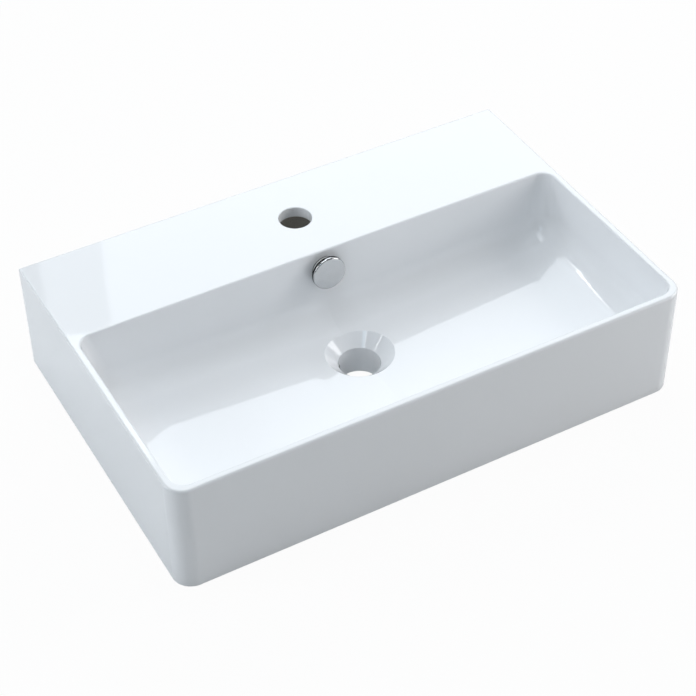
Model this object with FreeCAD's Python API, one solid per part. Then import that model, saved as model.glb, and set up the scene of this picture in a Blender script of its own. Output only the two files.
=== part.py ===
"""A rectangular ceramic washbasin with its push-in overflow cover.

Millimetres. +Z is up, -Y is the front, +Y is the wall side, and the origin is
the centre of the base plane. The basin is one fired casting, open below. The
overflow cover is a small assembly that pushes into the bowl's back wall.
"""

import FreeCAD, Part

import math
import os

# Overall casting
basin_width = 565.0
basin_depth = 365.0
basin_height = 130.0
front_corner_radius = 20.0
top_edge_radius = 2.5
base_chamfer = 1.2

# Bowl
rim_width = 8.0
ledge_depth = 129.0
bowl_depth = 84.0
side_draft = 2.5
front_draft = 2.5
back_draft = 5.0
side_fall = 1.95
back_fall = 1.3
bowl_corner_radius = 14.0
edge_rise_width = 43.0
edge_rise = 9.5
edge_rise_radius = 150.0
foot_radius = 30.0
foot_corner_margin = 1.0
bowl_wall = 10.0
skin_chamfer = 14.0
rim_edge_radius = 2.0

# Hollow underside
skirt_wall = 9.0
back_wall = 10.0
ledge_thickness = 12.0
hollow_corner_radius = 11.0
hollow_edge_chamfer = 6.0

# Waste outlet, set out from the bowl's back edge
waste_from_bowl_back = 74.0
waste_hole_radius = 22.5
seat_drop = 12.7
waste_boss_wall = 9.5

# Tap hole, set out from the back face
tap_from_back = 67.0
tap_hole_radius = 17.5

# Wall fixings
fixing_spacing = 280.0
fixing_height = 62.0
fixing_hole_radius = 7.0
fixing_pad_size = 38.0
fixing_pad_height = 6.0

# Overflow hole and the duct that leads from it to the waste outlet
overflow_drop = 23.0
overflow_hole_radius = 12.5
duct_depth = 13.0
duct_headroom = 1.0
duct_wall = 6.0
duct_left = 42.0
duct_right = 18.0
port_inset = 8.5
duct_base_share = 0.21
port_top_share = 0.63
duct_bend_share = 0.9
duct_skin_share = 0.06

# Overflow cover
cap_radius = 18.5
cap_thickness = 5.0
cap_edge_chamfer = 1.4
cap_standoff = 3.4
cap_post_radius = 4.6
flange_lip = 2.5
flange_thickness = 1.5
gasket_thickness = 1.0
sleeve_clearance = 0.6
sleeve_wall = 1.8
sleeve_length = 16.6
hub_radius = 5.0
hub_depth = 9.0
arm_width = 2.2
arm_height = 4.0
arm_count = 3
ring_section = 1.45
ring_clearance = 0.05
ring_gap = 0.3
tail_start = 2.4
screw_radius = 1.9
screw_reach = 6.0
screw_tip_clearance = 0.6
screw_head_radius = 3.4
screw_head_height = 2.2
screw_socket_radius = 1.3
screw_socket_depth = 1.3

# Clearances and working lengths
seat_clearance = 0.1
thread_clearance = 0.05
overrun = 3.0
match_tolerance = 0.01

half_width = basin_width / 2
front_y = -basin_depth / 2
back_y = basin_depth / 2
bowl_side_x = half_width - rim_width
bowl_front_y = front_y + rim_width
bowl_back_y = back_y - ledge_depth
waste_y = bowl_back_y - waste_from_bowl_back
floor_z = basin_height - bowl_depth
mouth_z = floor_z - seat_drop
ledge_underside_z = basin_height - ledge_thickness
tap_y = back_y - tap_from_back
overflow_z = basin_height - overflow_drop
side_slope = math.tan(math.radians(side_fall))
edge_rise_slope = math.tan(math.radians(side_fall + edge_rise)) - side_slope
edge_rise_x = bowl_side_x - edge_rise_width
back_slope = math.tan(math.radians(back_fall))

UP = FreeCAD.Vector(0, 0, 1)
BACKWARD = FreeCAD.Vector(0, 1, 0)
SIDEWAYS = FreeCAD.Vector(1, 0, 0)
ORIGIN = FreeCAD.Vector(0, 0, 0)


def point(x, y, z):
    return FreeCAD.Vector(x, y, z)


def box(x0, x1, y0, y1, z0, z1):
    return Part.makeBox(x1 - x0, y1 - y0, z1 - z0, point(x0, y0, z0))


def polygon_face(points):
    return Part.Face(Part.makePolygon(points + points[:1]))


def spun(profile):
    """A solid turned about the Z axis from (radius, height) points."""
    face = polygon_face([point(r, 0, z) for r, z in profile])
    return face.revolve(ORIGIN, UP, 360)


def hexagon(radius, base, height):
    """A six-sided prism on the Z axis, this far across from its middle to a corner."""
    corners = []
    for i in range(6):
        angle = math.radians(60 * i)
        corners.append(point(radius * math.cos(angle), radius * math.sin(angle), base))
    return polygon_face(corners).extrude(UP * height)


def edge_ends(edge):
    return edge.valueAt(edge.FirstParameter), edge.valueAt(edge.LastParameter)


def is_upright(edge):
    first, last = edge_ends(edge)
    return math.hypot(last.x - first.x, last.y - first.y) < match_tolerance


def lies_at(edge, height):
    return all(abs(end.z - height) < match_tolerance for end in edge_ends(edge))


def round_front_box(x, y0, y1, z0, z1, radius):
    """A box whose two upright front corners are rounded."""
    block = box(-x, x, y0, y1, z0, z1)
    middle = (y0 + y1) / 2
    upright = [edge for edge in block.Edges if is_upright(edge)]
    return block.makeFillet(radius, [edge for edge in upright if edge_ends(edge)[0].y < middle])


def level_edges(solid, height):
    return [edge for edge in solid.Edges if lies_at(edge, height)]


class BowlForm:
    """The bowl's inside surface, or with an offset the surface that far outside it.

    Drafted walls stand on a floor of two planes, left and right. Each falls to
    the middle and to the back. Inside, each rises steeper along the side wall,
    the upright corners grow wider with depth, and the walls run into the floor
    on the foot radius. Outside, corners and foot are chamfered.
    """

    def __init__(self, offset):
        self.offset = offset
        self.drafts = [math.tan(math.radians(a)) for a in (side_draft, front_draft, back_draft)]
        self.stretch = [math.hypot(1, draft) * offset for draft in self.drafts]

    def side_x(self, z):
        return bowl_side_x + self.stretch[0] - (basin_height - z) * self.drafts[0]

    def front_y(self, z):
        return bowl_front_y - self.stretch[1] + (basin_height - z) * self.drafts[1]

    def back_y(self, z):
        return bowl_back_y + self.stretch[2] - (basin_height - z) * self.drafts[2]

    def floor(self, x, y):
        return floor_z - self.offset + side_slope * x + back_slope * (waste_y - y)

    def floor_edge(self, x, y):
        return self.floor(x, y) + max(0, x - edge_rise_x) * edge_rise_slope

    def low_point(self, x_at, y_at):
        """Where the line with these x and y at each height meets the floor."""
        above_base = self.floor(x_at(0), y_at(0))
        above_rim = self.floor(x_at(basin_height), y_at(basin_height)) - basin_height
        z = basin_height * above_base / (above_base - above_rim)
        return point(x_at(z), y_at(z), z)

    def half_block(self):
        """The right half with sharp edges, and the tops of its two upright corners."""
        lines = [
            (lambda z: 0, self.front_y),
            (self.side_x, self.front_y),
            (self.side_x, self.back_y),
            (lambda z: 0, self.back_y),
        ]
        top_z = basin_height + overrun
        top = [point(x_at(top_z), y_at(top_z), top_z) for x_at, y_at in lines]
        low = [self.low_point(x_at, y_at) for x_at, y_at in lines]
        faces = [polygon_face(top), polygon_face(low)]
        for i in range(len(lines)):
            faces.append(polygon_face([top[i], top[i - 1], low[i - 1], low[i]]))
        solid = Part.Solid(Part.Shell(faces))
        if solid.Volume < 0:
            solid.reverse()
        return solid, [top[1], top[2]]

    def corner_edge(self, solid, top):
        """The edge that runs down from this corner of the top."""
        for edge in solid.Edges:
            low, high = sorted(edge_ends(edge), key=lambda end: end.z)
            if (high - top).Length < match_tolerance and low.z < basin_height:
                return edge
        raise ValueError("the bowl form has no edge at this corner")

    def widen_corner(self, solid, top):
        """Rounds one upright corner, wider at the foot than at the rim."""
        edge = self.corner_edge(solid, top)
        radii = [bowl_corner_radius, foot_radius + foot_corner_margin]
        if edge_ends(edge)[0].z < edge_ends(edge)[1].z:
            radii.reverse()
        return solid.makeFillet(radii[0], radii[1], [edge])

    def foot_edges(self, solid, floor):
        """The edges between the walls and this floor."""
        edges = []
        for edge in solid.Edges:
            ends = edge_ends(edge)
            on_floor = all(abs(floor(end.x, end.y) - end.z) < match_tolerance for end in ends)
            lengthwise = abs(ends[0].x - ends[1].x) < match_tolerance
            at_wall = ends[0].x > self.side_x(ends[0].z) - match_tolerance
            if on_floor and (at_wall or not lengthwise):
                edges.append(edge)
        return edges

    def raise_edge(self, half):
        """Lets the floor rise steeper along the side wall, with a wide round at the fold."""
        section = [
            point(edge_rise_x, front_y, self.floor(edge_rise_x, front_y)),
            point(half_width, front_y, self.floor_edge(half_width, front_y)),
            point(half_width, front_y, 0),
        ]
        along = point(0, basin_depth, -basin_depth * back_slope)
        half = half.cut(polygon_face(section).extrude(along))
        folds = [
            edge for edge in half.Edges
            if all(abs(end.x - edge_rise_x) < match_tolerance for end in edge_ends(edge))
        ]
        return half.makeFillet(edge_rise_radius, folds)

    def inside(self):
        half, corners = self.half_block()
        half = self.raise_edge(half)
        for top in corners:
            half = self.widen_corner(half, top)
        half = half.makeFillet(foot_radius, self.foot_edges(half, self.floor_edge))
        return half.fuse(half.mirror(ORIGIN, SIDEWAYS))

    def outside(self):
        half, corners = self.half_block()
        edges = [self.corner_edge(half, top) for top in corners]
        half = half.makeChamfer(skin_chamfer, edges + self.foot_edges(half, self.floor))
        return half.fuse(half.mirror(ORIGIN, SIDEWAYS))


def outer_block():
    block = round_front_box(half_width, front_y, back_y, 0, basin_height, front_corner_radius)
    block = block.makeFillet(top_edge_radius, level_edges(block, basin_height))
    return block.makeChamfer(base_chamfer, level_edges(block, 0))


def hollow():
    """The space inside the skirt, open below."""
    inside = half_width - skirt_wall
    inside_front = front_y + skirt_wall
    space = round_front_box(
        inside, inside_front, back_y - back_wall, -overrun, ledge_underside_z, hollow_corner_radius
    )
    return space.makeChamfer(hollow_edge_chamfer, level_edges(space, ledge_underside_z))


def waste_boss():
    radius = waste_hole_radius + waste_boss_wall
    return Part.makeCylinder(radius, floor_z, point(0, waste_y, 0), UP)


def waste_opening():
    """The outlet's bore, and the cone above it that a waste fitting seats in."""
    top_z = floor_z + overrun
    top_radius = waste_hole_radius + top_z - mouth_z
    profile = [
        (0, -overrun),
        (waste_hole_radius, -overrun),
        (waste_hole_radius, mouth_z),
        (top_radius, top_z),
        (0, top_z),
    ]
    return spun(profile).translated(point(0, waste_y, 0))


def fixing_holes():
    holes = []
    for side in (-1, 1):
        start = point(side * fixing_spacing / 2, back_y - basin_depth / 4, fixing_height)
        holes.append(Part.makeCylinder(fixing_hole_radius, basin_depth / 4 + overrun, start, BACKWARD))
    return holes


def fixing_pads():
    """Square pads that thicken the back wall at the fixings."""
    inner_y = back_y - back_wall
    reach = fixing_pad_size / 2
    pads = []
    for side in (-1, 1):
        x = side * fixing_spacing / 2
        low, high = fixing_height - reach, fixing_height + reach
        pads.append(
            box(x - reach, x + reach, inner_y - fixing_pad_height, inner_y + back_wall / 2, low, high)
        )
    return pads


def extruded_side_view(outline, x0, x1):
    """A solid from x0 to x1 with this outline of (y, z) points."""
    face = polygon_face([point(x0, y, z) for y, z in outline])
    return face.extrude(point(x1 - x0, 0, 0))


def duct_spaces():
    """The shaft behind the bowl, and the passage from its foot to the outlet's left side."""
    skin = BowlForm(bowl_wall)
    top_z = overflow_z + overflow_hole_radius + duct_headroom
    base_z = mouth_z * duct_base_share
    shaft = [
        (skin.back_y(top_z), top_z),
        (skin.back_y(top_z) + duct_depth, top_z),
        (skin.back_y(base_z) + duct_depth, base_z),
        (skin.back_y(base_z), base_z),
    ]
    inside_shaft = skin.back_y(base_z) + duct_depth / 2
    passage = [
        (waste_y, base_z),
        (waste_y, mouth_z * port_top_share),
        (inside_shaft, mouth_z * duct_bend_share),
        (inside_shaft, base_z),
    ]
    port_x = waste_hole_radius - port_inset
    return [
        extruded_side_view(shaft, -duct_left, duct_right),
        extruded_side_view(passage, -duct_left, -port_x),
    ]


def duct_walls():
    """Solid blocks round the duct's shaft and passage, before those are cut out."""
    skin = BowlForm(bowl_wall)
    top_z = ledge_underside_z + ledge_thickness / 2
    base_z = mouth_z * duct_skin_share
    bowl_foot_z = floor_z + bowl_wall
    front = skin.back_y(base_z) - duct_wall
    behind = duct_depth + duct_wall
    shaft = [
        (front, base_z),
        (front, bowl_foot_z),
        (skin.back_y(top_z) - bowl_wall / 2, top_z),
        (skin.back_y(top_z) + behind, top_z),
        (skin.back_y(base_z) + behind, base_z),
    ]
    passage = [
        (waste_y - duct_wall, base_z),
        (waste_y - duct_wall, floor_z),
        (front, bowl_foot_z),
        (front, base_z),
    ]
    port_x = waste_hole_radius - port_inset
    return [
        extruded_side_view(shaft, -duct_left - duct_wall, duct_right + duct_wall),
        extruded_side_view(passage, -duct_left - duct_wall, duct_wall - port_x),
    ]


def on_overflow_axis(shape):
    """Moves a shape from the Z axis to the overflow hole's axis, which points out of the wall.

    Height zero goes to the face of the bowl's back wall.
    """
    centre = point(0, BowlForm(0).back_y(overflow_z), overflow_z)
    turn = FreeCAD.Rotation(SIDEWAYS, 90 - back_draft)
    moved = shape.copy()
    moved.Placement = FreeCAD.Placement(centre, turn)
    return moved


def overflow_hole():
    reach = bowl_wall + duct_depth / 2
    start = point(0, 0, -reach)
    return on_overflow_axis(Part.makeCylinder(overflow_hole_radius, reach + overrun, start, UP))


def rim_outline(solid):
    """The edges of the bowl's opening in the top face."""
    limit = bowl_side_x + match_tolerance
    edges = []
    for edge in solid.Edges:
        middle = edge.valueAt((edge.FirstParameter + edge.LastParameter) / 2)
        in_width = abs(middle.x) < limit
        in_depth = bowl_front_y - match_tolerance < middle.y < bowl_back_y + match_tolerance
        if lies_at(edge, basin_height) and in_width and in_depth:
            edges.append(edge)
    return edges


def basin():
    outer = outer_block()
    bowl_skin = BowlForm(bowl_wall).outside().common(outer)
    casting = outer.cut(hollow())
    casting = casting.fuse([bowl_skin, waste_boss()] + duct_walls() + fixing_pads())
    casting = casting.cut(BowlForm(0).inside())
    tap_start = point(0, tap_y, ledge_underside_z - overrun)
    tap_hole = Part.makeCylinder(tap_hole_radius, ledge_thickness + 2 * overrun, tap_start, UP)
    holes = [waste_opening(), tap_hole, overflow_hole()] + duct_spaces() + fixing_holes()
    casting = casting.cut(holes).removeSplitter()
    return casting.makeFillet(rim_edge_radius, rim_outline(casting))


sleeve_radius = overflow_hole_radius - sleeve_clearance
flange_radius = overflow_hole_radius + flange_lip
flange_base = seat_clearance + gasket_thickness
flange_top = flange_base + flange_thickness
tail_radius = overflow_hole_radius - ring_clearance - ring_section
ring_pitch = ring_section + ring_gap


def overflow_cap():
    """A soft-edged disc on a six-sided post, with a blind hole for the screw."""
    back = flange_top + cap_standoff
    front = back + cap_thickness
    profile = [
        (0, back),
        (cap_radius, back),
        (cap_radius, front - cap_edge_chamfer),
        (cap_radius - cap_edge_chamfer, front),
        (0, front),
    ]
    disc = spun(profile)
    post = hexagon(cap_post_radius, flange_top, cap_standoff)
    bore_radius = screw_radius + thread_clearance
    bore_depth = screw_reach + screw_tip_clearance
    bore = Part.makeCylinder(bore_radius, bore_depth, point(0, 0, flange_top), UP)
    return on_overflow_axis(disc.fuse(post).cut(bore))


def overflow_insert():
    """A flanged sleeve with a slimmer tail for the rings, and a hub held in it by spider arms."""
    inner = sleeve_radius - sleeve_wall
    foot = flange_top - sleeve_length
    profile = [
        (inner, foot),
        (tail_radius, foot),
        (tail_radius, -tail_start),
        (sleeve_radius, -tail_start),
        (sleeve_radius, flange_base),
        (flange_radius, flange_base),
        (flange_radius, flange_top),
        (inner, flange_top),
    ]
    sleeve = spun(profile)
    hub_length = flange_top + hub_depth
    hub = hexagon(hub_radius, -hub_depth, hub_length)
    arms = []
    arm_reach = inner + sleeve_wall / 4
    for i in range(arm_count):
        arm = box(0, arm_reach, -arm_width / 2, arm_width / 2, -hub_depth, arm_height - hub_depth)
        arms.append(arm.rotated(ORIGIN, UP, 30 + 360 * i / arm_count))
    bore_start = point(0, 0, -hub_depth - overrun)
    bore_radius = screw_radius + thread_clearance
    bore = Part.makeCylinder(bore_radius, hub_length + 2 * overrun, bore_start, UP)
    return on_overflow_axis(sleeve.fuse([hub] + arms).cut(bore).removeSplitter())


def overflow_screw():
    """A hex-socket screw that enters the hub from behind and holds the cap."""
    reach = hub_depth + flange_top + screw_reach
    shank = Part.makeCylinder(screw_radius, reach, point(0, 0, -hub_depth), UP)
    head_base = -hub_depth - screw_head_height
    head = Part.makeCylinder(screw_head_radius, screw_head_height, point(0, 0, head_base), UP)
    socket = hexagon(screw_socket_radius, head_base, screw_socket_depth)
    return on_overflow_axis(shank.fuse(head).cut(socket).removeSplitter())


def overflow_gasket():
    """A flat washer between the flange and the wall."""
    start = point(0, 0, seat_clearance)
    disc = Part.makeCylinder(flange_radius, gasket_thickness, start, UP)
    hole = Part.makeCylinder(overflow_hole_radius, gasket_thickness, start, UP)
    return on_overflow_axis(disc.cut(hole))


def grip_ring(place):
    """A square-section ring on the sleeve's tail, place 0 in front and 1 behind."""
    high = -tail_start - ring_gap - place * ring_pitch
    low = high - ring_section
    outer = tail_radius + ring_section
    profile = [(tail_radius, low), (outer, low), (outer, high), (tail_radius, high)]
    return on_overflow_axis(spun(profile))


def main():
    parts = {
        "basin": basin(),
        "overflow_cap": overflow_cap(),
        "overflow_insert": overflow_insert(),
        "overflow_screw": overflow_screw(),
        "overflow_gasket": overflow_gasket(),
        "grip_ring_front": grip_ring(0),
        "grip_ring_back": grip_ring(1),
    }
    os.makedirs("parts", exist_ok=True)
    for name, shape in parts.items():
        shape.exportStep("parts/" + name + ".step")
        print(name, "solids", len(shape.Solids), "valid", shape.isValid(), "mm3", round(shape.Volume))


main()
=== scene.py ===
"""Finish and studio of a rectangular ceramic washbasin with an overflow cover.

Metres, in the frame's own place: +Z is up, -Y is the front and +Y the wall side.
"""

import math
from typing import NamedTuple

import bmesh
import bpy
from bpy.props import FloatProperty, FloatVectorProperty, PointerProperty
from bpy.types import NodeSocket, Operator, Panel, PropertyGroup
from mathutils import Matrix, Vector
from mathutils.geometry import tessellate_polygon


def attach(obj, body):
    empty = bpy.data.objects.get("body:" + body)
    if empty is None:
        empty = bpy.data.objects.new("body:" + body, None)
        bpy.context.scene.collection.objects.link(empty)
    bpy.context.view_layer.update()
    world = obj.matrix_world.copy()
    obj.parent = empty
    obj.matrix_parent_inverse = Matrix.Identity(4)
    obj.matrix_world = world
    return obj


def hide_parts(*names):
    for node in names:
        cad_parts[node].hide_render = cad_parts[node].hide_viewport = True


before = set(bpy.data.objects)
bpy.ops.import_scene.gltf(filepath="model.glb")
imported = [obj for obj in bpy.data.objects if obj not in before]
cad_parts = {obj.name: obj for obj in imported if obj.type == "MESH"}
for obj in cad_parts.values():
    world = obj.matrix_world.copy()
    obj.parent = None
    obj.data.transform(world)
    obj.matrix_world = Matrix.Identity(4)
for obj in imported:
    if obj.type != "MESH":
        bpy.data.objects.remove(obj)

bl_info = {
    "name": "Ceramic washbasin",
    "version": (1, 0, 0),
    "blender": (4, 5, 0),
    "location": "View3D > Sidebar > Washbasin",
    "description": "Glazes the basin, plates its overflow cover and sets the studio",
    "category": "Object",
}

UP = Vector((0, 0, 1))
SIDEWAYS = Vector((1, 0, 0))

# Faces along each round: an upright corner, a fine edge, the bowl's foot, the
# fold in the floor, a full circle and the cap's post.
CORNER_STEPS = 28
ARC_STEPS = 10
FOOT_STEPS = 24
RISE_STEPS = 8
ROUND_STEPS = 96
POST_SIDES = 6
# An edge whose faces turn more than this stays sharp.
SHARP_EDGE = math.radians(35)

# Rounds of the search for a place over the floor, and the scale at which
# outlines are cut into triangles.
CLOSING_STEPS = 12
FILL_SCALE = 1000
# A step off a surface, a length that is too small to see, and the area below
# which a face is left out.
PROBE = 0.001
HAIR = 0.0002
SMALLEST_AREA = 1e-12

# A noise seldom leaves this middle of its range.
NOISE_LOW, NOISE_HIGH = 0.3, 0.7
# The Mix node's colour sockets, whose names other sockets of the node have too.
MIX_FIRST, MIX_SECOND, MIX_RESULT = 6, 7, 2

WHITE = (1, 1, 1)
COOL = (0.89, 0.95, 1.0)
BLUE = (0.55, 0.82, 1.0)
BOX_DISTANCE = 2.0
FLOOR_REACH = 8.0


def length(name, description, default):
    """A length in metres."""
    return FloatProperty(name=name, description=description, default=default, unit="LENGTH")


def slope(name, description, degrees):
    """An angle, given in degrees and kept in radians."""
    return FloatProperty(
        name=name, description=description, default=math.radians(degrees), unit="ROTATION"
    )


def share(name, description, default):
    """A number from 0 to 1."""
    return FloatProperty(
        name=name, description=description, default=default, min=0, max=1, subtype="FACTOR"
    )


def colour(name, description, default):
    """A linear colour."""
    return FloatVectorProperty(
        name=name, description=description, default=default, size=3, min=0, max=1, subtype="COLOR"
    )


class CastingShape(PropertyGroup):
    """Sizes of the fired casting, as the frame has them, and of the glaze on its holes."""

    width: length("Width", "Left to right", 0.565)
    depth: length("Depth", "Front to back", 0.365)
    height: length("Height", "Base to rim", 0.130)
    front_corner: length("Front corner", "Radius of the two upright front corners", 0.020)
    top_edge: length("Top edge", "Radius of the outer top edge", 0.0025)
    base_edge: length("Base edge", "Radius of the outer base edge", 0.0012)
    rim: length("Rim", "Width of the rim in front and at the sides", 0.008)
    ledge: length("Ledge", "Depth of the ledge behind the bowl", 0.129)
    bowl_depth: length("Bowl depth", "Rim to floor at the outlet", 0.084)
    side_draft: slope("Side draft", "Lean of the bowl's side walls", 2.5)
    front_draft: slope("Front draft", "Lean of the bowl's front wall", 2.5)
    back_draft: slope("Back draft", "Lean of the bowl's back wall", 5.0)
    side_fall: slope("Side fall", "Fall of the floor towards the middle", 1.95)
    back_fall: slope("Back fall", "Fall of the floor towards the back", 1.3)
    rise_width: length("Rise width", "From the bowl's side edge to the fold in the floor", 0.043)
    rise: slope("Rise", "How much steeper the floor is beyond the fold", 9.5)
    rise_radius: length("Rise radius", "Radius of the fold", 0.15)
    crown: length("Crown", "Height over the rim where the corner radius is measured", 0.003)
    bowl_corner: length("Bowl corner", "Radius of the upright corners at the crown", 0.014)
    foot_corner: length("Foot corner", "Radius of the upright corners at the floor", 0.031)
    foot: length("Foot", "Radius between the walls and the floor", 0.030)
    rim_edge: length("Rim edge", "Radius of the bowl's upper edge", 0.002)
    waste_set_back: length("Outlet set-back", "Outlet's middle from the bowl's back edge", 0.074)
    waste_radius: length("Outlet radius", "Radius of the outlet's bore", 0.0225)
    seat_drop: length("Seat drop", "Height of the outlet's conical seat", 0.0127)
    tap_set_back: length("Tap set-back", "Tap hole's middle from the back face", 0.067)
    tap_radius: length("Tap radius", "Radius of the tap hole", 0.0175)
    ledge_thickness: length("Ledge thickness", "Thickness of the ledge", 0.012)
    overflow_drop: length("Overflow drop", "Overflow hole's middle below the rim", 0.023)
    overflow_radius: length("Overflow radius", "Radius of the overflow hole", 0.0125)
    glaze_edge: length("Glaze edge", "Radius that the glaze gives to the holes' edges", 0.0010)
    bore_lap: length("Bore lap", "How far the skin reaches down the outlet's bore", 0.010)


class CapShape(PropertyGroup):
    """Sizes of the overflow cap, as the frame has them, but with rounds for its chamfer."""

    radius: length("Radius", "Radius of the disc", 0.0185)
    back: length("Back", "From the wall to the disc", 0.006)
    thickness: length("Thickness", "Thickness of the disc", 0.005)
    edge: length("Edge", "Radius of the disc's front edge", 0.0016)
    back_edge: length("Back edge", "Radius of the disc's rear edge", 0.0004)
    # Behind this band the disc's side is painted near-black, as painted shade for the dark gap
    # between the cap and the wall.
    lip: length("Lip", "Bright part of the disc's side, from its face", 0.0020)
    post_base: length("Post base", "From the wall to the post", 0.0026)
    post: length("Post", "Middle to corner of the six-sided post", 0.0046)


class FinishSettings(PropertyGroup):
    """Colours and gloss of the pieces."""

    glaze: colour("Glaze", "Colour of the fired glaze", (0.875, 0.885, 0.90))
    clay: colour("Bare clay", "Colour of the unglazed body", (0.74, 0.71, 0.66))
    chrome: colour("Chrome", "Colour of the plated cap", (0.56, 0.565, 0.57))
    # Near-black for the rear of the cap's side: painted shade for the dark gap between the cap
    # and the wall, not a duller plating.
    painted_gap_shade: colour("Dull chrome", "Colour of the cap behind its lip", (0.03, 0.03, 0.032))
    plastic: colour("Plastic", "Colour of the moulded insert", (0.80, 0.80, 0.78))
    steel: colour("Steel", "Colour of the screw", (0.58, 0.57, 0.55))
    rubber: colour("Rubber", "Colour of the gasket and the rings", (0.025, 0.025, 0.026))
    glaze_blur: share("Glaze blur", "Roughness of the glaze", 0.04)


class StudioSettings(PropertyGroup):
    """Camera, floor and the room's own light."""

    azimuth: slope("Camera azimuth", "Turn of the camera about the upright axis", -28.8517)
    elevation: slope("Camera elevation", "Height of the camera above the horizon", 42.4427)
    roll: slope("Camera roll", "Turn of the camera about its own axis", -0.5853)
    distance: length("Camera distance", "From the camera to the point it looks at", 1.8473)
    aim: FloatVectorProperty(
        name="Aim", description="Point that the camera looks at", size=3, unit="LENGTH",
        default=(-0.01642, -0.02593, 0.065),
    )
    lens: FloatProperty(
        name="Lens", description="Focal length in millimetres", default=93.9455, unit="CAMERA"
    )
    paper: colour("Paper", "Colour of the floor", (0.8, 0.8, 0.8))
    paper_white: share("Paper white", "How much of the floor shows plain white", 0.95)
    room: colour("Room", "Colour of the room's own light", (0.98, 0.99, 1.0))
    room_glow: share("Room glow", "Brightness of the room's own light", 0.17)


def turns(first, last, steps):
    """Unit directions from the first to the last in equal turns."""
    angle = first.angle(last)
    directions = []
    for i in range(steps + 1):
        along = angle * i / steps
        mix = first * math.sin(angle - along) + last * math.sin(along)
        directions.append(mix / math.sin(angle))
    return directions


def edge_round(corner, first, last, radius):
    """The round between two faces that meet at a corner, as (point, normal) pairs."""
    centre = corner - radius * (first + last) / (1 + first.dot(last))
    return [(centre + radius * way, way) for way in turns(first, last, ARC_STEPS)]


def around(steps=ROUND_STEPS, start=0.0, end=2 * math.pi):
    """Level unit directions about the Z axis."""
    angles = [start + (end - start) * i / steps for i in range(steps + 1)]
    return [Vector((math.cos(a), math.sin(a), 0)) for a in angles]


def flip(vector):
    """The same place or direction on the other side."""
    return Vector((-vector.x, vector.y, vector.z))


def add_object(name, data):
    """A new object in the scene."""
    obj = bpy.data.objects.new(name, data)
    bpy.context.scene.collection.objects.link(obj)
    return obj


class Skin:
    """Faces whose corners carry the exact direction of the surface."""

    def __init__(self):
        self.points = []
        self.normals = []
        self.faces = []

    def add_corners(self, corners):
        first = len(self.points)
        for place, normal in corners:
            self.points.append(place)
            self.normals.append(normal)
        return list(range(first, first + len(corners)))

    def add_face(self, indices):
        """One face, turned to look the way that its corners' normals point."""
        places = [self.points[i] for i in indices]
        facing = (places[2] - places[0]).cross(places[-1] - places[1])
        if len(places) == 3:
            facing = (places[1] - places[0]).cross(places[2] - places[0])
        if facing.length < SMALLEST_AREA:
            return
        if facing.dot(sum((self.normals[i] for i in indices), Vector())) < 0:
            indices = indices[::-1]
        self.faces.append(indices)

    def strip(self, rows):
        """Four-sided faces between rows of (point, normal) corners."""
        numbers = [self.add_corners(row) for row in rows]
        for upper, lower in zip(numbers, numbers[1:]):
            for i in range(len(upper) - 1):
                self.add_face([upper[i], upper[i + 1], lower[i + 1], lower[i]])

    def fill(self, loops):
        """Triangles inside an outline and outside its holes, all (point, normal) corners."""
        numbers = self.add_corners([corner for loop in loops for corner in loop])
        enlarged = [[place * FILL_SCALE for place, _ in loop] for loop in loops]
        for triangle in tessellate_polygon(enlarged):
            self.add_face([numbers[i] for i in triangle])

    def sheet(self, loops, normal):
        """A flat face with an outline and holes, as triangles."""
        self.fill([[(place, normal) for place in loop] for loop in loops])

    def mirror(self):
        """Adds the same faces on the other side."""
        offset = len(self.points)
        self.points += [flip(place) for place in self.points]
        self.normals += [flip(normal) for normal in self.normals]
        self.faces += [[i + offset for i in face[::-1]] for face in self.faces]

    def build(self, name, materials):
        mesh = bpy.data.meshes.new(name)
        mesh.from_pydata(self.points, [], self.faces)
        mesh.update()
        mesh.shade_smooth()
        mesh.normals_split_custom_set_from_vertices([n.normalized() for n in self.normals])
        for material in materials:
            mesh.materials.append(material)
        return add_object(name, mesh)


class WallLine:
    """One straight line down the bowl's wall, with the wall's outward normal there."""

    def __init__(self, start, way, normal):
        self.start = start
        self.way = way
        self.normal = normal

    def at_height(self, height):
        return self.start + self.way * (height - self.start.z) / self.way.z


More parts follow.
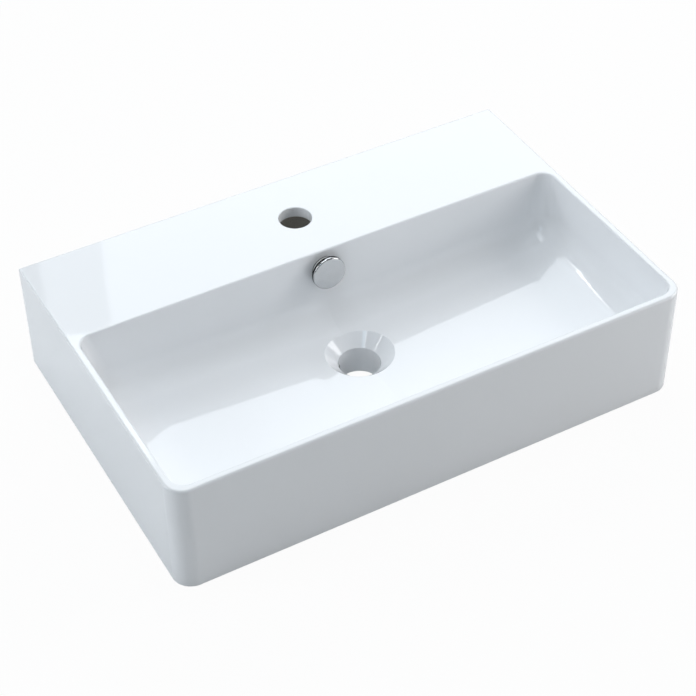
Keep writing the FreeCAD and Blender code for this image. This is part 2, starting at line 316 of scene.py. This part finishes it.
class CastingForm:
    """Where the casting's surfaces lie, from its sizes."""

    def __init__(self, shape):
        self.shape = shape
        self.half = shape.width / 2
        self.front = -shape.depth / 2
        self.back = shape.depth / 2
        self.floor_z = shape.height - shape.bowl_depth
        self.mouth_z = self.floor_z - shape.seat_drop
        self.waste_y = self.back - shape.ledge - shape.waste_set_back
        self.tap_y = self.back - shape.tap_set_back
        self.side_slope = math.tan(shape.side_fall)
        self.back_slope = math.tan(shape.back_fall)
        steep = math.tan(shape.side_fall + shape.rise)
        fold_x = self.half - shape.rim - shape.rise_width
        self.fold = Vector((fold_x, self.waste_y, self.floor_z + self.side_slope * fold_x))
        flat = Vector((-self.side_slope, self.back_slope, 1)).normalized()
        risen = Vector((-steep, self.back_slope, 1)).normalized()
        self.floor_normal = flat
        self.rise_normal = risen
        self.fold_centre = self.fold + shape.rise_radius * (flat + risen) / (1 + flat.dot(risen))
        self.lines = self.wall_lines()
        self.rim_rounds = [self.rim_round(line) for line in self.lines]
        self.foot_rounds = [self.foot_round(line) for line in self.lines]

    def side_x(self, z):
        lean = (self.shape.height - z) * math.tan(self.shape.side_draft)
        return self.half - self.shape.rim - lean

    def front_y(self, z):
        lean = (self.shape.height - z) * math.tan(self.shape.front_draft)
        return self.front + self.shape.rim + lean

    def back_y(self, z):
        lean = (self.shape.height - z) * math.tan(self.shape.back_draft)
        return self.back - self.shape.ledge - lean

    def floor(self, x, y):
        return self.floor_z + self.side_slope * abs(x) + self.back_slope * (self.waste_y - y)

    def over_floor(self, place):
        """Height of a place over the floor, and the floor's normal below it."""
        axis = self.floor_normal.cross(self.rise_normal).normalized()
        arm = self.fold_centre - place
        arm -= axis * arm.dot(axis)
        if self.floor_normal.cross(arm).dot(axis) <= 0:
            return (place - self.fold).dot(self.floor_normal), self.floor_normal
        if arm.cross(self.rise_normal).dot(axis) <= 0:
            return (place - self.fold).dot(self.rise_normal), self.rise_normal
        return self.shape.rise_radius - arm.length, arm.normalized()

    def lower(self, place, way, height):
        """The place moved along a line to this height over the floor, and the floor's normal."""
        for _ in range(CLOSING_STEPS):
            over, normal = self.over_floor(place)
            place = place - way * (over - height) / way.dot(normal)
        return place, normal

    def corner_lines(self, top, first, last):
        """The lines of one upright corner, which widens towards the floor."""
        axis = first.cross(last).normalized()
        way = -axis if axis.z > 0 else axis
        drop = (self.lower(top, way, 0)[0] - top).length
        growth = (self.shape.foot_corner - self.shape.bowl_corner) / drop
        inward = -(first + last) / (1 + first.dot(last))
        lines = []
        for out in turns(first, last, CORNER_STEPS):
            start = top + self.shape.bowl_corner * (inward + out)
            slant = way + growth * (inward + out)
            normal = axis.cross(out).cross(slant).normalized()
            if normal.dot(out) < 0:
                normal = -normal
            lines.append(WallLine(start, slant, normal))
        return lines

    def wall_lines(self):
        """Lines from the middle of the front round the right side to the middle of the back."""
        shape = self.shape
        crown = shape.height + shape.crown
        front = Vector((0, -math.cos(shape.front_draft), -math.sin(shape.front_draft)))
        side = Vector((math.cos(shape.side_draft), 0, -math.sin(shape.side_draft)))
        back = Vector((0, math.cos(shape.back_draft), -math.sin(shape.back_draft)))
        x = self.side_x(crown)
        front_corner = self.corner_lines(Vector((x, self.front_y(crown), crown)), front, side)
        back_corner = self.corner_lines(Vector((x, self.back_y(crown), crown)), side, back)
        end = min(self.ball_centre(line)[0].x for line in (front_corner[0], back_corner[-1]))
        self.stations = [x for x in self.fold_stations() if x < end - PROBE]
        places = [0] + self.stations
        front_way = front.cross(SIDEWAYS)
        back_way = back.cross(SIDEWAYS)
        front_y = self.front_y(crown)
        back_y = self.back_y(crown)
        lines = [WallLine(Vector((x, front_y, crown)), front_way, front) for x in places]
        lines += front_corner + back_corner
        lines += [WallLine(Vector((x, back_y, crown)), back_way, back) for x in places[::-1]]
        return lines

    def ball_centre(self, line):
        """The middle of the foot's round below a wall line, and the floor's normal there."""
        start = line.start - self.shape.foot * line.normal
        return self.lower(start, line.way, self.shape.foot)

    def fold_stations(self):
        """Where the middle of the foot's round lies while it passes the fold, left to right."""
        reach = self.shape.rise_radius - self.shape.foot
        ways = turns(self.floor_normal, self.rise_normal, RISE_STEPS)
        return [(self.fold_centre - reach * way).x for way in ways]

    def rim_round(self, line):
        corner = line.at_height(self.shape.height)
        return edge_round(corner, -line.normal, UP, self.shape.rim_edge)

    def foot_round(self, line):
        """The round from a wall line to the floor. In the middle it stays in the middle plane."""
        centre, below = self.ball_centre(line)
        crease = line.normal.cross(below)
        corners = []
        for way in turns(line.normal, -below, FOOT_STEPS):
            place = centre + self.shape.foot * way
            if line.start.x == 0:
                place -= crease * place.x / crease.x
            corners.append((place, -way))
        return corners

    def seat_columns(self):
        """The right half of the outlet's seat and of its bore's top, in upright columns."""
        shape = self.shape
        bore = shape.waste_radius - HAIR
        middle = Vector((0, self.waste_y, self.mouth_z))
        columns = []
        for out in around(ROUND_STEPS // 2, -math.pi / 2, math.pi / 2):
            seat = (UP - out).normalized()
            fall = self.side_slope * out.x - self.back_slope * out.y
            reach = (shape.seat_drop + shape.waste_radius) / (1 - fall)
            top = middle + out * reach + UP * (reach - shape.waste_radius)
            low = middle + out * bore - UP * HAIR
            column = edge_round(top, self.floor_normal, seat, shape.glaze_edge)
            column += edge_round(low, seat, -out, shape.glaze_edge)
            column.append((low - UP * shape.bore_lap, -out))
            columns.append(column)
        return columns

    def outline(self, inset):
        """The outline without its back, as (place, outward) pairs from the left rear."""
        radius = self.shape.front_corner
        side = self.half - inset
        right = [(Vector((side, self.back - inset, 0)), SIDEWAYS)]
        middle = Vector((self.half - radius, self.front + radius, 0))
        for out in turns(SIDEWAYS, Vector((0, -1, 0)), CORNER_STEPS):
            right.append((middle + out * (radius - inset), out))
        left = [(flip(place), flip(out)) for place, out in right]
        return left + right[::-1]

    def outer_row(self, inset, height, tilt):
        """One row round the outside, with its normals tilted up from level."""
        return [
            (place + UP * height, out * math.cos(tilt) + UP * math.sin(tilt))
            for place, out in self.outline(inset)
        ]

    def back_row(self, inset, height, tilt):
        """One row along the back face, with its normals tilted up from level."""
        normal = Vector((0, math.cos(tilt), math.sin(tilt)))
        side = self.half - inset
        back = self.back - inset
        return [(Vector((x, back, height)), normal) for x in (-side, side)]

    def edge_rows(self, row, radius, centre_z, start, end):
        """Rows round an outer edge, from the first tilt to the last."""
        rows = []
        for i in range(ARC_STEPS + 1):
            tilt = start + (end - start) * i / ARC_STEPS
            inset = radius * (1 - math.cos(tilt))
            rows.append(row(inset, centre_z + radius * math.sin(tilt), tilt))
        return rows

    def covers(self, face):
        """Whether the glazed skin takes the place of this face of the frame."""
        centre = face.calc_center_median()
        probe = centre + face.normal * PROBE
        return (
            self.outside(centre, probe) or self.in_bowl(probe)
            or self.in_seat(probe) or self.in_tap_hole(probe)
        )

    def outside(self, centre, probe):
        """Whether a face looks out of the front, a side, the top or an edge of the back."""
        shape = self.shape
        radius = shape.front_corner
        over_x = abs(probe.x) - self.half + radius
        over_y = self.front + radius - probe.y
        if probe.y > self.back:
            return centre.z < shape.base_edge or centre.z > shape.height - shape.top_edge
        if over_x > 0 and over_y > 0 and math.hypot(over_x, over_y) > radius:
            return True
        return probe.z > shape.height or over_x > radius or over_y > radius

    def in_bowl(self, place):
        z = place.z
        in_walls = abs(place.x) < self.side_x(z) and self.front_y(z) < place.y < self.back_y(z)
        return in_walls and z > self.floor(place.x, place.y)

    def in_seat(self, place):
        rise = place.z - self.mouth_z
        reach = math.hypot(place.x, place.y - self.waste_y)
        return rise > 0 and reach < self.shape.waste_radius + rise and place.z < self.shape.height

    def in_tap_hole(self, place):
        shape = self.shape
        reach = math.hypot(place.x, place.y - self.tap_y)
        return reach < shape.tap_radius and place.z > shape.height - shape.ledge_thickness

    def in_bore(self, place):
        reach = math.hypot(place.x, place.y - self.waste_y)
        return reach < self.shape.waste_radius + HAIR and place.z < self.mouth_z


def bowl_skin(form):
    """The bowl's right half, mirrored."""
    skin = Skin()
    skin.strip([[rows[i] for rows in form.rim_rounds] for i in range(ARC_STEPS + 1)])
    wall_top = [rows[0] for rows in form.rim_rounds]
    wall_foot = [rows[0] for rows in form.foot_rounds]
    skin.strip([wall_top[:-1], wall_foot[:-1]])
    skin.strip([[rows[i] for rows in form.foot_rounds] for i in range(FOOT_STEPS + 1)])
    seat = form.seat_columns()
    skin.strip([[column[i] for column in seat] for i in range(len(seat[0]))])
    feet = [rows[-1] for rows in form.foot_rounds]
    last = len(form.stations)
    outline = [feet[0], feet[1], feet[-2], feet[-1]] + [column[0] for column in seat[::-1]]
    skin.fill([outline])
    skin.strip([[feet[i], feet[-1 - i]] for i in range(1, last + 1)])
    skin.fill([feet[last:len(feet) - last]])
    skin.mirror()
    return skin


def add_back_wall(skin, form):
    """The bowl's back wall with the overflow hole."""
    shape = form.shape
    normal = form.lines[-1].normal
    top = form.rim_rounds[-2][0][0]
    foot = form.foot_rounds[-2][0][0]
    middle = form.foot_rounds[-1][0][0]
    hole_z = shape.height - shape.overflow_drop
    centre = Vector((0, form.back_y(hole_z), hole_z))
    across = normal.cross(SIDEWAYS)
    hole = [
        centre + shape.overflow_radius * (out.x * SIDEWAYS + out.y * across)
        for out in around()[:-1]
    ]
    skin.sheet([[top, flip(top), flip(foot), middle, foot], hole], -normal)


def add_top(skin, form):
    """The ledge and the rim, with the tap hole."""
    shape = form.shape
    centre = Vector((0, form.tap_y, shape.height))
    columns = []
    for out in around():
        column = edge_round(centre + out * shape.tap_radius, UP, -out, shape.glaze_edge)
        column.append((centre + out * shape.tap_radius - UP * shape.ledge_thickness, -out))
        columns.append(column)
    skin.strip([[column[i] for column in columns] for i in range(len(columns[0]))])
    outer = [place + UP * shape.height for place, _ in form.outline(shape.top_edge)]
    right = [rows[-1][0] for rows in form.rim_rounds]
    rim = right + [flip(place) for place in right[-2:0:-1]]
    skin.sheet([outer, rim, [column[0][0] for column in columns[:-1]]], UP)


def add_outside(skin, form):
    """The front and side faces with the top and base edges, and the back face's edges."""
    shape = form.shape
    quarter = math.pi / 2
    top_z = shape.height - shape.top_edge
    for row in (form.outer_row, form.back_row):
        base = form.edge_rows(row, shape.base_edge, shape.base_edge, -quarter, 0)
        top = form.edge_rows(row, shape.top_edge, top_z, 0, quarter)
        under = row(shape.base_edge + PROBE, HAIR / 2, -quarter)
        skin.strip([under] + base)
        skin.strip(top)
    skin.strip([form.outer_row(0, shape.base_edge, 0), form.outer_row(0, top_z, 0)])


def casting_remainder(form, materials):
    """The casting's bare faces, and the glazed ones inside its bores, as the frame has them."""
    faces = bmesh.new()
    faces.from_mesh(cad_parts["basin"].data)
    covered = [face for face in faces.faces if form.covers(face)]
    bmesh.ops.delete(faces, geom=covered, context="FACES")
    for face in faces.faces:
        face.smooth = True
        face.material_index = int(form.in_bore(face.calc_center_median()))
    mesh = bpy.data.meshes.new("basin_underside")
    faces.to_mesh(mesh)
    faces.free()
    for material in materials:
        mesh.materials.append(material)
    return add_object("basin_underside", mesh)


class Finish:
    """A node tree under construction."""

    def __init__(self, tree):
        self.tree = tree
        tree.nodes.clear()

    def add(self, kind, inputs=None, **settings):
        """A node with its settings and its inputs, each a value or a socket to link."""
        node = self.tree.nodes.new(kind)
        for name, value in settings.items():
            setattr(node, name, value)
        for name, value in (inputs or {}).items():
            if isinstance(value, NodeSocket):
                self.tree.links.new(value, node.inputs[name])
            else:
                node.inputs[name].default_value = value
        return node

    def place(self):
        """The place on the piece, in metres."""
        return self.add("ShaderNodeTexCoord").outputs["Object"]

    def noise(self, place, scale, detail=2.0, roughness=0.5):
        inputs = {"Vector": place, "Scale": scale, "Detail": detail, "Roughness": roughness}
        return self.add("ShaderNodeTexNoise", inputs).outputs["Fac"]

    def between(self, factor, low, high):
        """A number from low to high over the middle of a noise."""
        return self.step(factor, NOISE_LOW, NOISE_HIGH, low, high)

    def step(self, value, start, end, low=0.0, high=1.0):
        """A number from low to high while the value goes from start to end."""
        ends = {"From Min": start, "From Max": end, "To Min": low, "To Max": high}
        return self.add("ShaderNodeMapRange", {"Value": value, **ends}).outputs["Result"]

    def blend(self, factor, first, second):
        """A colour between two, each a colour or a socket to link, by a factor."""
        ends = [end if isinstance(end, NodeSocket) else (*end, 1) for end in (first, second)]
        inputs = {"Factor": factor, MIX_FIRST: ends[0], MIX_SECOND: ends[1]}
        return self.add("ShaderNodeMix", inputs, data_type="RGBA").outputs[MIX_RESULT]

    def bump(self, height, distance, strength=1.0):
        inputs = {"Height": height, "Distance": distance, "Strength": strength}
        return self.add("ShaderNodeBump", inputs).outputs["Normal"]

    def surface(self, inputs):
        shader = self.add("ShaderNodeBsdfPrincipled", inputs)
        self.add("ShaderNodeOutputMaterial", {"Surface": shader.outputs["BSDF"]})


def new_finish(name):
    """A material and the node tree to build it in."""
    material = bpy.data.materials.new(name)
    material.use_nodes = True
    return material, Finish(material.node_tree)


def scaled(tint, factor):
    """A lighter or darker tint."""
    return tuple(min(1.0, part * factor) for part in tint)


def glaze_material(settings):
    """Fired white glaze: glassy, with a faint wave in the surface."""
    material, finish = new_finish("fired_glaze")
    place = finish.place()
    cloud = finish.between(finish.noise(place, scale=6.0), 0.0, 1.0)
    wave = finish.noise(place, scale=70.0, detail=1.0, roughness=0.3)
    blur = finish.noise(place, scale=30.0)
    finish.surface({
        "Base Color": finish.blend(cloud, settings.glaze, scaled(settings.glaze, 1.012)),
        "Roughness": finish.between(blur, settings.glaze_blur * 0.8, settings.glaze_blur * 1.2),
        "IOR": 1.52,
        "Normal": finish.bump(wave, distance=0.00002),
    })
    return material


def clay_material(settings):
    """Unglazed fired body: matt, fine-grained, with darker specks."""
    material, finish = new_finish("bare_fired_clay")
    place = finish.place()
    cloud = finish.between(finish.noise(place, scale=14.0, detail=3.0), 0.0, 1.0)
    body = finish.blend(cloud, settings.clay, scaled(settings.clay, 1.10))
    speck = finish.step(finish.noise(place, scale=900.0, detail=1.0), 0.66, 0.72)
    grain = finish.noise(place, scale=1200.0, detail=3.0)
    finish.surface({
        "Base Color": finish.blend(speck, body, scaled(settings.clay, 0.62)),
        "Roughness": finish.between(finish.noise(place, scale=300.0), 0.78, 0.95),
        "Normal": finish.bump(grain, distance=0.0002, strength=0.6),
    })
    return material


def chrome_material(settings, axis, lip):
    """Plated metal with a light polish grain. Behind the lip at this place on the axis the cap's
    side is painted near-black: painted shade for the dark gap between the cap and the wall.
    """
    material, finish = new_finish("plated_chrome")
    place = finish.place()
    cloud = finish.between(finish.noise(place, scale=120.0), 0.0, 1.0)
    plated = finish.blend(cloud, settings.chrome, scaled(settings.chrome, 1.03))
    along = finish.add("ShaderNodeVectorMath", {0: place, 1: axis}, operation="DOT_PRODUCT")
    # Painted shade mask: 0 behind the lip, where the side is painted near-black as the gap's
    # shadow, and 1 at the plated front.
    front = finish.step(along.outputs["Value"], lip - HAIR, lip)
    polish = finish.noise(place, scale=2500.0)
    finish.surface({
        "Base Color": finish.blend(front, settings.painted_gap_shade, plated),
        "Metallic": 1.0,
        "Roughness": finish.between(finish.noise(place, scale=400.0), 0.10, 0.16),
        "Normal": finish.bump(polish, distance=0.00001, strength=0.4),
    })
    return material


def plastic_material(settings):
    """Moulded white plastic."""
    material, finish = new_finish("moulded_plastic")
    place = finish.place()
    cloud = finish.between(finish.noise(place, scale=90.0), 0.0, 1.0)
    grain = finish.noise(place, scale=1800.0)
    finish.surface({
        "Base Color": finish.blend(cloud, settings.plastic, scaled(settings.plastic, 1.04)),
        "Roughness": finish.between(finish.noise(place, scale=500.0), 0.34, 0.48),
        "IOR": 1.49,
        "Normal": finish.bump(grain, distance=0.00003, strength=0.5),
    })
    return material


def steel_material(settings):
    """Turned stainless steel with fine tool rings."""
    material, finish = new_finish("turned_steel")
    place = finish.place()
    rings = finish.add("ShaderNodeTexWave", {
        "Vector": place, "Scale": 900.0, "Distortion": 1.5, "Detail": 1.0,
    }, bands_direction="Y").outputs["Fac"]
    cloud = finish.between(finish.noise(place, scale=200.0), 0.0, 1.0)
    finish.surface({
        "Base Color": finish.blend(cloud, settings.steel, scaled(settings.steel, 1.08)),
        "Metallic": 1.0,
        "Roughness": finish.between(rings, 0.24, 0.36),
        "Normal": finish.bump(rings, distance=0.00002, strength=0.5),
    })
    return material


def rubber_material(settings):
    """Matt black rubber with a dusty bloom."""
    material, finish = new_finish("black_rubber")
    place = finish.place()
    bloom = finish.between(finish.noise(place, scale=260.0, detail=3.0), 0.0, 1.0)
    grain = finish.noise(place, scale=2200.0)
    finish.surface({
        "Base Color": finish.blend(bloom, settings.rubber, scaled(settings.rubber, 1.7)),
        "Roughness": finish.between(finish.noise(place, scale=700.0), 0.62, 0.80),
        "Normal": finish.bump(grain, distance=0.00004, strength=0.6),
    })
    return material


def dress(nodes, material):
    """Gives frame nodes a material, and smooth shading that breaks at sharp edges."""
    for name in nodes:
        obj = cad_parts[name]
        obj.data.materials.clear()
        obj.data.materials.append(material)
        soften(obj)


def smooth_by_angle():
    """A node group that shades smooth except over sharp edges."""
    name = "smooth_by_angle"
    if name in bpy.data.node_groups:
        return bpy.data.node_groups[name]
    tree = bpy.data.node_groups.new(name, "GeometryNodeTree")
    tree.interface.new_socket("Geometry", in_out="INPUT", socket_type="NodeSocketGeometry")
    tree.interface.new_socket("Geometry", in_out="OUTPUT", socket_type="NodeSocketGeometry")
    finish = Finish(tree)
    start = finish.add("NodeGroupInput").outputs[0]
    angle = finish.add("GeometryNodeInputMeshEdgeAngle").outputs["Unsigned Angle"]
    soft = finish.add("FunctionNodeCompare", {0: angle, 1: SHARP_EDGE}, operation="LESS_THAN")
    faces = finish.add("GeometryNodeSetShadeSmooth", {"Geometry": start}, domain="FACE")
    inputs = {"Geometry": faces.outputs[0], "Shade Smooth": soft.outputs["Result"]}
    edges = finish.add("GeometryNodeSetShadeSmooth", inputs, domain="EDGE")
    finish.add("NodeGroupOutput", {0: edges.outputs[0]})
    return tree


def soften(obj):
    """Shades an object smooth except over its sharp edges."""
    modifier = obj.modifiers.new("smooth_by_angle", "NODES")
    modifier.node_group = smooth_by_angle()


class WASHBASIN_OT_casting(Operator):
    """Makes the casting's glazed skin, and keeps the frame's faces below and behind it."""

    bl_idname = "washbasin.casting"
    bl_label = "Casting"

    def execute(self, context):
        settings = context.scene.washbasin_finish
        form = CastingForm(context.scene.washbasin_casting)
        glaze = glaze_material(settings)
        clay = clay_material(settings)
        skin = bowl_skin(form)
        add_back_wall(skin, form)
        add_top(skin, form)
        add_outside(skin, form)
        glazed = skin.build("basin_glazed_skin", [glaze])
        bare = casting_remainder(form, [clay, glaze])
        soften(bare)
        for obj in (glazed, bare):
            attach(obj, "basin")
            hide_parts("basin")
        return {"FINISHED"}


def overflow_place(form):
    """The overflow hole's middle on the wall, and its axis out of the wall."""
    z = form.shape.height - form.shape.overflow_drop
    return Vector((0, form.back_y(z), z)), -form.lines[-1].normal


def cap_profile(shape):
    """From the rear middle to the front: radius, distance from the wall, and normal's parts."""
    front = shape.back + shape.thickness
    quarter = math.pi / 2
    inner, outer = shape.post / 2, shape.radius - shape.back_edge
    profile = [(inner, shape.back, 0, -1), (outer, shape.back, 0, -1)]
    for radius, centre, start in (
        (shape.back_edge, shape.back + shape.back_edge, -quarter),
        (shape.edge, front - shape.edge, 0),
    ):
        for i in range(ARC_STEPS + 1):
            tilt = start + quarter * i / ARC_STEPS
            radial, axial = math.cos(tilt), math.sin(tilt)
            reach = shape.radius - radius + radius * radial
            profile.append((reach, centre + radius * axial, radial, axial))
    profile.append((0, front, 0, 1))
    return profile


class WASHBASIN_OT_cap(Operator):
    """Makes the plated overflow cap with its rounded edge and its post."""

    bl_idname = "washbasin.cap"
    bl_label = "Overflow cap"

    def execute(self, context):
        shape = context.scene.washbasin_cap
        centre, axis = overflow_place(CastingForm(context.scene.washbasin_casting))
        rise = axis.cross(SIDEWAYS)
        skin = Skin()
        rows = []
        for reach, along, radial, axial in cap_profile(shape):
            row = []
            for out in around():
                spoke = out.x * SIDEWAYS + out.y * rise
                row.append((centre + axis * along + spoke * reach, spoke * radial + axis * axial))
            rows.append(row)
        skin.strip(rows)
        corners = around(POST_SIDES)
        for first, last in zip(corners, corners[1:]):
            spokes = [out.x * SIDEWAYS + out.y * rise for out in (first, last)]
            normal = (spokes[0] + spokes[1]).normalized()
            skin.strip([
                [(centre + spoke * shape.post + axis * along, normal) for spoke in spokes]
                for along in (shape.post_base, shape.back)
            ])
        # Where the painted shade of the gap behind the disc begins on the cap's side.
        lip = axis.dot(centre) + shape.back + shape.thickness - shape.lip
        chrome = chrome_material(context.scene.washbasin_finish, axis, lip)
        cap = skin.build("plated_overflow_cap", [chrome])
        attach(cap, "overflow_cover")
        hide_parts("overflow_cap")
        return {"FINISHED"}


class WASHBASIN_OT_insert(Operator):
    """Finishes the overflow cover's insert, screw and seals."""

    bl_idname = "washbasin.insert"
    bl_label = "Overflow insert"

    def execute(self, context):
        settings = context.scene.washbasin_finish
        dress(["overflow_insert"], plastic_material(settings))
        dress(["overflow_screw"], steel_material(settings))
        dress(["overflow_gasket", "grip_ring_front", "grip_ring_back"], rubber_material(settings))
        return {"FINISHED"}


def add_camera(settings):
    """The camera, turned about the place that it looks at."""
    camera = bpy.data.cameras.new("camera")
    obj = add_object("camera", camera)
    camera.lens = settings.lens
    turn, rise = settings.azimuth, settings.elevation
    level = math.cos(rise)
    back = Vector((math.sin(turn) * level, -math.cos(turn) * level, math.sin(rise)))
    right = Vector((math.cos(turn), math.sin(turn), 0))
    above = back.cross(right)
    tilted_right = math.cos(settings.roll) * right + math.sin(settings.roll) * above
    tilted_above = math.cos(settings.roll) * above - math.sin(settings.roll) * right
    rotation = Matrix((tilted_right, tilted_above, back)).transposed().to_4x4()
    aim = Vector(settings.aim)
    obj.matrix_world = Matrix.Translation(aim + back * settings.distance) @ rotation
    bpy.context.scene.camera = obj


def heading(azimuth, elevation):
    """The direction at these degrees: azimuth from the back towards the right, elevation up."""
    turn, rise = math.radians(azimuth), math.radians(elevation)
    level = math.cos(rise)
    return Vector((math.sin(turn) * level, math.cos(turn) * level, math.sin(rise)))


class Softbox(NamedTuple):
    """A rectangular light, described by how a mirror at one place shows it."""

    name: str
    seen_from: tuple
    azimuth: float
    elevation: float
    size: tuple
    glow: float
    tint: tuple = WHITE
    shift: float = 0.0
    roll: float = 0.0


# Places that mirror the softboxes: the ledge's left part, the foot of the
# bowl's right wall and the outlet's seat.
LEDGE = (-0.212, 0.134, 0.130)
FOOT = (0.258, -0.060, 0.060)
SEAT = (0.010, -0.010, 0.040)

# Azimuth and elevation in degrees, size and shift to the side in metres, roll
# in degrees, clockwise. The glow is what the mirror shows, whatever the size.
SOFTBOXES = (
    Softbox("key_softbox", LEDGE, 19.1, 40, (1.25, 1.2), 1.4, COOL, shift=0.625),
    Softbox("back_softbox", LEDGE, 14.2, 40, (1.4, 1.2), 1.4, COOL, shift=0.7),
    Softbox("side_softbox", FOOT, -20.5, 47.2, (0.35, 0.9), 2.7, COOL, shift=0.175, roll=60),
    Softbox("far_strip", FOOT, -25.5, 45.2, (0.03, 0.36), 9.0, roll=52),
    Softbox("near_strip", FOOT, -14.5, 50.0, (0.03, 0.40), 9.0, roll=63),
    Softbox("overhead_softbox", SEAT, -90, 82, (1.3, 1.1), 2.5, COOL),
    Softbox("left_softbox", SEAT, -71, 17, (0.9, 0.9), 4.2, COOL),
    Softbox("left_strip", SEAT, -73, 34, (0.06, 0.6), 14.0),
    Softbox("right_softbox", SEAT, 103, 30, (0.72, 1.05), 5.5),
    Softbox("low_softbox", SEAT, 135, 8, (1.0, 0.5), 3.0),
    Softbox("front_panel", SEAT, -133, 48, (0.30, 0.6), 2.6, BLUE),
    Softbox("front_strip", SEAT, -124.5, 46, (0.10, 0.6), 6.0, COOL),
)

# The light that a pale table throws up into the hollow underside.
BOUNCE_PLACE = (0, 0.15, 0.002)
BOUNCE_SIZE = (0.40, 0.04)
BOUNCE_GLOW = 0.30


def add_light(name, size, glow, tint, place):
    """A rectangular light that glows as bright as this, whatever its size."""
    light = bpy.data.lights.new(name, "AREA")
    light.shape = "RECTANGLE"
    light.size, light.size_y = size
    light.energy = glow * math.pi * light.size * light.size_y
    light.color = tint
    add_object(name, light).matrix_world = place


def add_softbox(box):
    """Hangs a softbox before the place that mirrors it, and turns it to face that place."""
    out = heading(box.azimuth, box.elevation)
    across = out.cross(UP).normalized()
    across = Matrix.Rotation(math.radians(box.roll), 3, out) @ across
    above = across.cross(out)
    facing = Matrix((-across, above, out)).transposed().to_4x4()
    place = Vector(box.seen_from) + out * BOX_DISTANCE + across * box.shift
    add_light(box.name, box.size, box.glow, box.tint, Matrix.Translation(place) @ facing)


def add_table_bounce():
    """A light that looks up from the table under the ledge."""
    place = Matrix.Translation(BOUNCE_PLACE) @ Matrix.Rotation(math.pi, 4, "X")
    add_light("table_bounce", BOUNCE_SIZE, BOUNCE_GLOW, COOL, place)


def floor_material(settings):
    """Pale floor that is white to the camera but still takes the object's shadow."""
    material, finish = new_finish("studio_floor")
    path = finish.add("ShaderNodeLightPath")
    paper = finish.add("ShaderNodeBsdfDiffuse", {"Color": (*settings.paper, 1)})
    white = finish.add("ShaderNodeEmission", {"Strength": 1.0})
    seen = {0: path.outputs["Is Camera Ray"], 1: settings.paper_white}
    part = finish.add("ShaderNodeMath", seen, operation="MULTIPLY")
    mix = finish.add("ShaderNodeMixShader", {
        0: part.outputs[0], 1: paper.outputs[0], 2: white.outputs[0],
    })
    finish.add("ShaderNodeOutputMaterial", {"Surface": mix.outputs[0]})
    return material


def add_floor(settings):
    """The table top, out of sight at its edges."""
    mesh = bpy.data.meshes.new("floor")
    s = FLOOR_REACH
    mesh.from_pydata([(-s, -s, 0), (s, -s, 0), (s, s, 0), (-s, s, 0)], [], [(0, 1, 2, 3)])
    mesh.materials.append(floor_material(settings))
    obj = add_object("floor", mesh)


def add_world(settings):
    """A dim room that is white to the camera."""
    world = bpy.data.worlds.new("studio")
    bpy.context.scene.world = world
    world.use_nodes = True
    finish = Finish(world.node_tree)
    path = finish.add("ShaderNodeLightPath")
    room = finish.add("ShaderNodeBackground", {
        "Color": (*settings.room, 1), "Strength": settings.room_glow,
    })
    white = finish.add("ShaderNodeBackground", {"Strength": 1.0})
    mix = finish.add("ShaderNodeMixShader", {
        0: path.outputs["Is Camera Ray"], 1: room.outputs[0], 2: white.outputs[0],
    })
    finish.add("ShaderNodeOutputWorld", {"Surface": mix.outputs[0]})


class WASHBASIN_OT_studio(Operator):
    """Sets the floor, the lights and the camera."""

    bl_idname = "washbasin.studio"
    bl_label = "Studio"

    def execute(self, context):
        settings = context.scene.washbasin_studio
        context.scene.view_settings.view_transform = "Standard"
        add_camera(settings)
        add_floor(settings)
        add_world(settings)
        for box in SOFTBOXES:
            add_softbox(box)
        add_table_bounce()
        return {"FINISHED"}


STEPS = (WASHBASIN_OT_casting, WASHBASIN_OT_cap, WASHBASIN_OT_insert, WASHBASIN_OT_studio)
GROUPS = {
    "washbasin_casting": CastingShape,
    "washbasin_cap": CapShape,
    "washbasin_finish": FinishSettings,
    "washbasin_studio": StudioSettings,
}


class WASHBASIN_PT_steps(Panel):
    """Lists the steps that dress the washbasin."""

    bl_idname = "WASHBASIN_PT_steps"
    bl_label = "Washbasin"
    bl_space_type = "VIEW_3D"
    bl_region_type = "UI"
    bl_category = "Washbasin"

    def draw(self, context):
        for step in STEPS:
            self.layout.operator(step.bl_idname)


def register():
    for cls in (*GROUPS.values(), *STEPS, WASHBASIN_PT_steps):
        bpy.utils.register_class(cls)
    for name, group in GROUPS.items():
        setattr(bpy.types.Scene, name, PointerProperty(type=group))


def unregister():
    for name in GROUPS:
        delattr(bpy.types.Scene, name)
    for cls in (WASHBASIN_PT_steps, *reversed(STEPS), *reversed(GROUPS.values())):
        bpy.utils.unregister_class(cls)


def main():
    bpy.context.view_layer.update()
    register()
    bpy.ops.washbasin.casting()
    bpy.ops.washbasin.cap()
    bpy.ops.washbasin.insert()
    bpy.ops.washbasin.studio()


if __name__ == "__main__":
    main()
